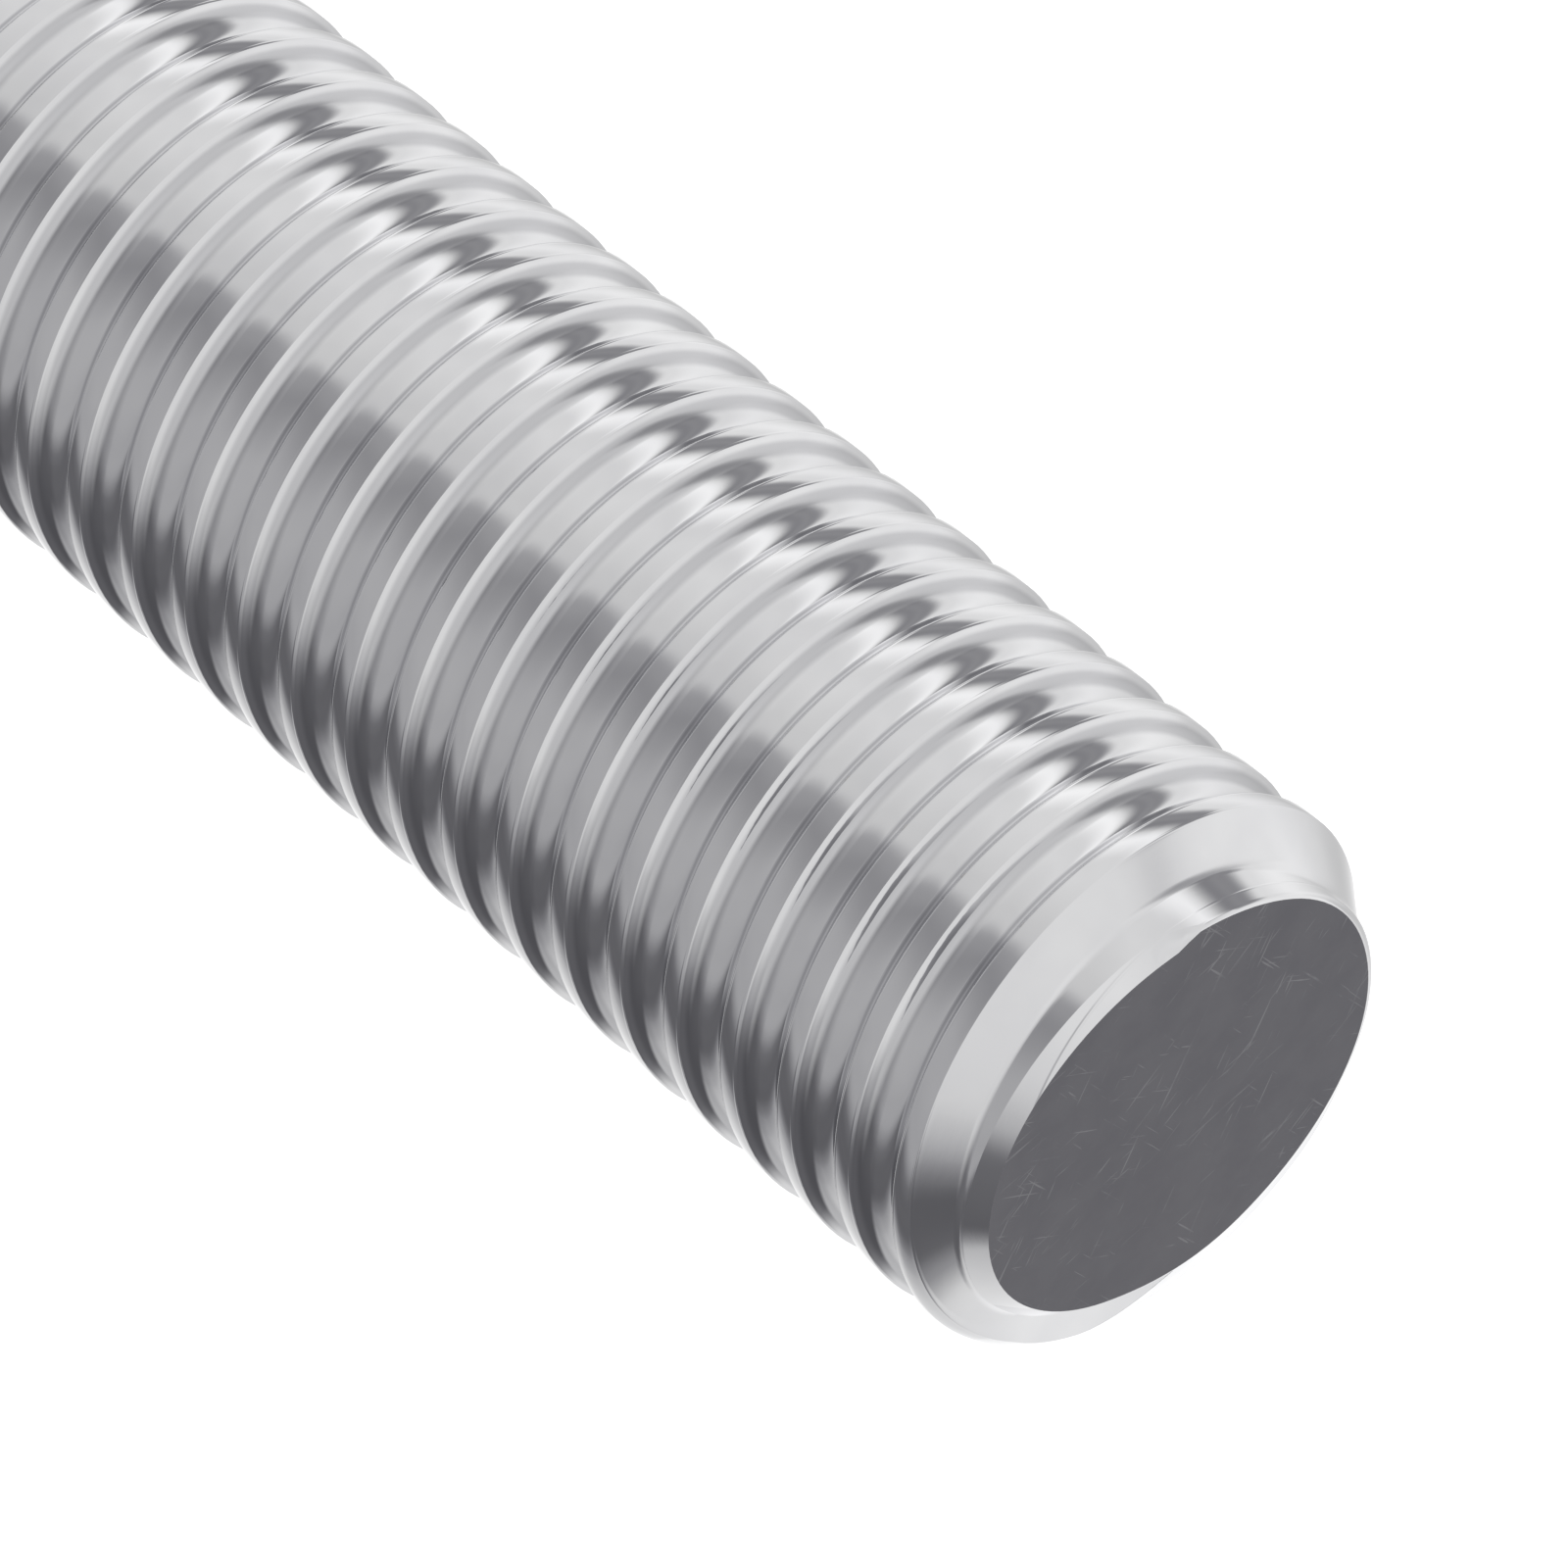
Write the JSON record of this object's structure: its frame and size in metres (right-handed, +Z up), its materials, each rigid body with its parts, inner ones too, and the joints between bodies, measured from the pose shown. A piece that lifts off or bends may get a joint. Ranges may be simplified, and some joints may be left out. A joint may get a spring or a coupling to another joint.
{
  "type": "ball screw assembly",
  "caption": "Ball screw drive: a right-hand rolled screw shaft on a fixed-side bearing block, with a flanged ball nut that travels as the shaft turns.",
  "frame": {"origin": "middle of the support unit's base face", "axes": "+X along the shaft to its free end, +Z up from the base"},
  "size_m": [0.3899, 0.106, 0.0952],
  "materials": {
    "blackened_steel": "fine ground, chemically blackened",
    "black_oxide": "black oxide",
    "turned_steel": "fine turned",
    "brass": "plain",
    "ground_steel": "ground",
    "plated_steel": "zinc plated",
    "rolled_steel": "rolled and polished",
    "nitrile": "satin",
    "bearing_steel": "ground",
    "polyamide": "natural",
    "ball_steel": "polished",
    "acetal": "moulded",
    "wiper_plastic": "moulded",
    "spring_steel": "plain"
  },
  "bodies": {
    "support_unit": {"support_housing": "blackened_steel", "bearing_cover": "blackened_steel", "cover_screws": "black_oxide", "oil_seal_drive_side": "nitrile", "oil_seal_nut_side": "nitrile", "bearing_outer_ring_drive_side": "bearing_steel", "bearing_outer_ring_nut_side": "bearing_steel"},
    "screw": {"screw_shaft": "rolled_steel", "bearing_inner_ring_drive_side": "bearing_steel", "bearing_inner_ring_nut_side": "bearing_steel", "collar_drive_side": "turned_steel", "collar_nut_side": "turned_steel", "lock_nut": "turned_steel", "lock_nut_pads": "brass", "lock_nut_set_screws": "black_oxide"},
    "cage_drive_side": {"bearing_cage_drive_side": "polyamide", "bearing_balls_drive_side": "ball_steel"},
    "cage_nut_side": {"bearing_cage_nut_side": "polyamide", "bearing_balls_nut_side": "ball_steel"},
    "nut": {"nut_body": "ground_steel", "grease_nipple": "plated_steel", "return_deflector_1": "acetal", "return_deflector_2": "acetal", "return_deflector_3": "acetal", "return_deflector_4": "acetal", "ball_circuit_1": "ball_steel", "ball_circuit_2": "ball_steel", "ball_circuit_3": "ball_steel", "ball_circuit_4": "ball_steel", "wiper_flange_end": "wiper_plastic", "wiper_free_end": "wiper_plastic", "wiper_snap_ring_flange_end": "spring_steel", "wiper_snap_ring_free_end": "spring_steel"}
  },
  "joints": [
    {"name": "screw_spin", "type": "hinge", "parent": "support_unit", "child": "screw", "pos_m": [0, 0, 0.048], "axis": [1, 0, 0], "range_deg": [-9000, 3600]},
    {"name": "nut_travel", "type": "slide", "parent": "support_unit", "child": "nut", "axis": [1, 0, 0], "range_m": [-0.0501, 0.1251]},
    {"name": "cage_spin_drive_side", "type": "hinge", "parent": "support_unit", "child": "cage_drive_side", "pos_m": [0, 0, 0.048], "axis": [1, 0, 0], "range_deg": [-3750, 1500]},
    {"name": "cage_spin_nut_side", "type": "hinge", "parent": "support_unit", "child": "cage_nut_side", "pos_m": [0, 0, 0.048], "axis": [1, 0, 0], "range_deg": [-3750, 1500]}
  ],
  "couplings": [
    {"joint": "nut_travel", "follows": "screw_spin", "m_per_rad": -0.00079577},
    {"joint": "cage_spin_drive_side", "follows": "screw_spin", "ratio": 0.4107},
    {"joint": "cage_spin_nut_side", "follows": "screw_spin", "ratio": 0.4107}
  ]
}
